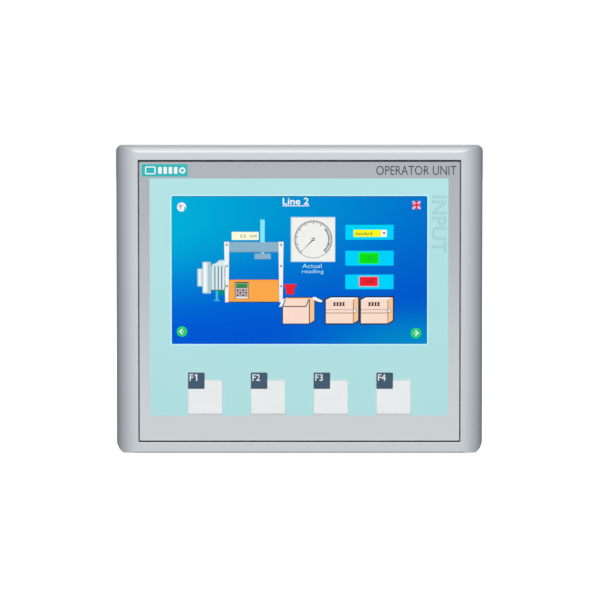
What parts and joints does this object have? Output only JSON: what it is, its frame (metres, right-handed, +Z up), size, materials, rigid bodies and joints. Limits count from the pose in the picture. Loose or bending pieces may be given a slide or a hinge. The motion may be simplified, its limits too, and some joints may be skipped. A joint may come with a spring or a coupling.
{
  "type": "hmi touch panel",
  "caption": "Flush-mounted operator panel: a wide touch display over a row of square function keys in a light grey bezel, with a dark rear housing, clamping clips and connectors below.",
  "frame": {"origin": "centre of the cabinet cut-out, on the back face of the bezel that seats on the cabinet wall", "axes": "+X right and +Z up as the user sees it, +Y into the cabinet, away from the user"},
  "size_m": [0.14, 0.0464, 0.1184],
  "materials": {
    "bezel_grey": "fine moulded texture",
    "foil_grey": "printed polyester, satin",
    "window_clear": "clear polyester film",
    "touch_glass": "clear float glass",
    "key_white": "satin white print",
    "tile_blue": "satin blue-grey print",
    "mat_silicone": "silicone",
    "board_green": "solder mask",
    "lcd_glass": "polariser film on glass",
    "guide_clear": "clear acrylic",
    "sheet_steel": "zinc plated sheet",
    "screw_steel": "zinc plated",
    "flex_amber": "polyimide film",
    "socket_ivory": "moulded",
    "chip_black": "moulded epoxy",
    "spreader_aluminium": "bare, extruded",
    "can_aluminium": "drawn cans",
    "jack_metal": "tinned sheet",
    "jack_black": "glass filled, moulded",
    "contact_gold": "gold flashed",
    "tinned_metal": "tinned",
    "plug_green": "moulded",
    "housing_dark": "fine spark texture",
    "gasket_rubber": "foam rubber skin",
    "plate_silver": "silver film label, blank",
    "clip_dark": "glass filled, moulded",
    "pad_black": "moulded"
  },
  "bodies": {
    "panel": {"front_bezel": "bezel_grey", "overlay_foil": "foil_grey", "display_window": "window_clear", "touch_film": "window_clear", "touch_glass": "touch_glass", "key_mat": "mat_silicone", "key_board": "board_green", "main_board": "board_green", "lcd_cell": "lcd_glass", "light_guide": "guide_clear", "lcd_frame": "sheet_steel", "display_bracket": "sheet_steel", "bracket_screws": "screw_steel", "board_screws": "screw_steel", "housing_screws": "screw_steel", "touch_tail": "flex_amber", "lcd_tail": "flex_amber", "key_tail": "flex_amber", "ribbon_sockets": "socket_ivory", "processor": "chip_black", "memory_chips": "chip_black", "network_transformer": "chip_black", "power_inductor": "chip_black", "heat_spreader": "spreader_aluminium", "capacitors": "can_aluminium", "rj45_shell": "jack_metal", "rj45_insert": "jack_black", "power_header": "jack_black", "rj45_contacts": "contact_gold", "header_pins": "tinned_metal", "earth_blade": "tinned_metal", "rear_housing": "housing_dark", "panel_gasket": "gasket_rubber", "rating_plate": "plate_silver", "mounting_clip_1": "clip_dark", "mounting_clip_2": "clip_dark", "mounting_clip_3": "clip_dark", "mounting_clip_4": "clip_dark"},
    "key_1": {"function_key_1": "key_white", "key_tile_1": "tile_blue"},
    "clamp_foot_1": {"clamp_pad_1": "pad_black"},
    "clamp_bolt_1": {"clamp_screw_1": "screw_steel"},
    "key_2": {"function_key_2": "key_white", "key_tile_2": "tile_blue"},
    "clamp_foot_2": {"clamp_pad_2": "pad_black"},
    "clamp_bolt_2": {"clamp_screw_2": "screw_steel"},
    "key_3": {"function_key_3": "key_white", "key_tile_3": "tile_blue"},
    "clamp_foot_3": {"clamp_pad_3": "pad_black"},
    "clamp_bolt_3": {"clamp_screw_3": "screw_steel"},
    "key_4": {"function_key_4": "key_white", "key_tile_4": "tile_blue"},
    "clamp_foot_4": {"clamp_pad_4": "pad_black"},
    "clamp_bolt_4": {"clamp_screw_4": "screw_steel"},
    "plug": {"power_plug": "plug_green"},
    "terminal_screw_1": {"plug_screw_1": "screw_steel"},
    "terminal_cage_1": {"wire_cage_1": "tinned_metal"},
    "terminal_screw_2": {"plug_screw_2": "screw_steel"},
    "terminal_cage_2": {"wire_cage_2": "tinned_metal"}
  },
  "joints": [
    {"name": "key_1_press", "type": "slide", "parent": "panel", "child": "key_1", "axis": [0, 1, 0], "range_m": [0, 0.0005], "stiffness_N_per_m": 4000, "springref_m": -0.0001},
    {"name": "key_2_press", "type": "slide", "parent": "panel", "child": "key_2", "axis": [0, 1, 0], "range_m": [0, 0.0005], "stiffness_N_per_m": 4000, "springref_m": -0.0001},
    {"name": "key_3_press", "type": "slide", "parent": "panel", "child": "key_3", "axis": [0, 1, 0], "range_m": [0, 0.0005], "stiffness_N_per_m": 4000, "springref_m": -0.0001},
    {"name": "key_4_press", "type": "slide", "parent": "panel", "child": "key_4", "axis": [0, 1, 0], "range_m": [0, 0.0005], "stiffness_N_per_m": 4000, "springref_m": -0.0001},
    {"name": "clamp_1_advance", "type": "slide", "parent": "panel", "child": "clamp_foot_1", "axis": [0, -1, 0], "range_m": [0, 0.0045]},
    {"name": "clamp_1_turn", "type": "hinge", "parent": "clamp_foot_1", "child": "clamp_bolt_1", "pos_m": [-0.038, 0.015, 0.052], "axis": [0, -1, 0], "range_deg": [0, 3240]},
    {"name": "clamp_2_advance", "type": "slide", "parent": "panel", "child": "clamp_foot_2", "axis": [0, -1, 0], "range_m": [0, 0.0045]},
    {"name": "clamp_2_turn", "type": "hinge", "parent": "clamp_foot_2", "child": "clamp_bolt_2", "pos_m": [0.038, 0.015, 0.052], "axis": [0, -1, 0], "range_deg": [0, 3240]},
    {"name": "clamp_3_advance", "type": "slide", "parent": "panel", "child": "clamp_foot_3", "axis": [0, -1, 0], "range_m": [0, 0.0045]},
    {"name": "clamp_3_turn", "type": "hinge", "parent": "clamp_foot_3", "child": "clamp_bolt_3", "pos_m": [-0.038, 0.015, -0.052], "axis": [0, -1, 0], "range_deg": [0, 3240]},
    {"name": "clamp_4_advance", "type": "slide", "parent": "panel", "child": "clamp_foot_4", "axis": [0, -1, 0], "range_m": [0, 0.0045]},
    {"name": "clamp_4_turn", "type": "hinge", "parent": "clamp_foot_4", "child": "clamp_bolt_4", "pos_m": [0.038, 0.015, -0.052], "axis": [0, -1, 0], "range_deg": [0, 3240]},
    {"name": "plug_pull", "type": "slide", "parent": "panel", "child": "plug", "axis": [0, 0, -1], "range_m": [0, 0.01]},
    {"name": "terminal_1_turn", "type": "hinge", "parent": "plug", "child": "terminal_screw_1", "pos_m": [-0.02654, 0.0282, -0.0425], "axis": [0, -1, 0], "range_deg": [0, 864]},
    {"name": "terminal_1_clamp", "type": "slide", "parent": "plug", "child": "terminal_cage_1", "axis": [0, 1, 0], "range_m": [0, 0.0012]},
    {"name": "terminal_2_turn", "type": "hinge", "parent": "plug", "child": "terminal_screw_2", "pos_m": [-0.02146, 0.0282, -0.0425], "axis": [0, -1, 0], "range_deg": [0, 864]},
    {"name": "terminal_2_clamp", "type": "slide", "parent": "plug", "child": "terminal_cage_2", "axis": [0, 1, 0], "range_m": [0, 0.0012]}
  ],
  "couplings": [
    {"joint": "clamp_1_turn", "follows": "clamp_1_advance", "rad_per_m": 12566},
    {"joint": "clamp_2_turn", "follows": "clamp_2_advance", "rad_per_m": 12566},
    {"joint": "clamp_3_turn", "follows": "clamp_3_advance", "rad_per_m": 12566},
    {"joint": "clamp_4_turn", "follows": "clamp_4_advance", "rad_per_m": 12566},
    {"joint": "terminal_1_turn", "follows": "terminal_1_clamp", "rad_per_m": 12566},
    {"joint": "terminal_2_turn", "follows": "terminal_2_clamp", "rad_per_m": 12566}
  ]
}
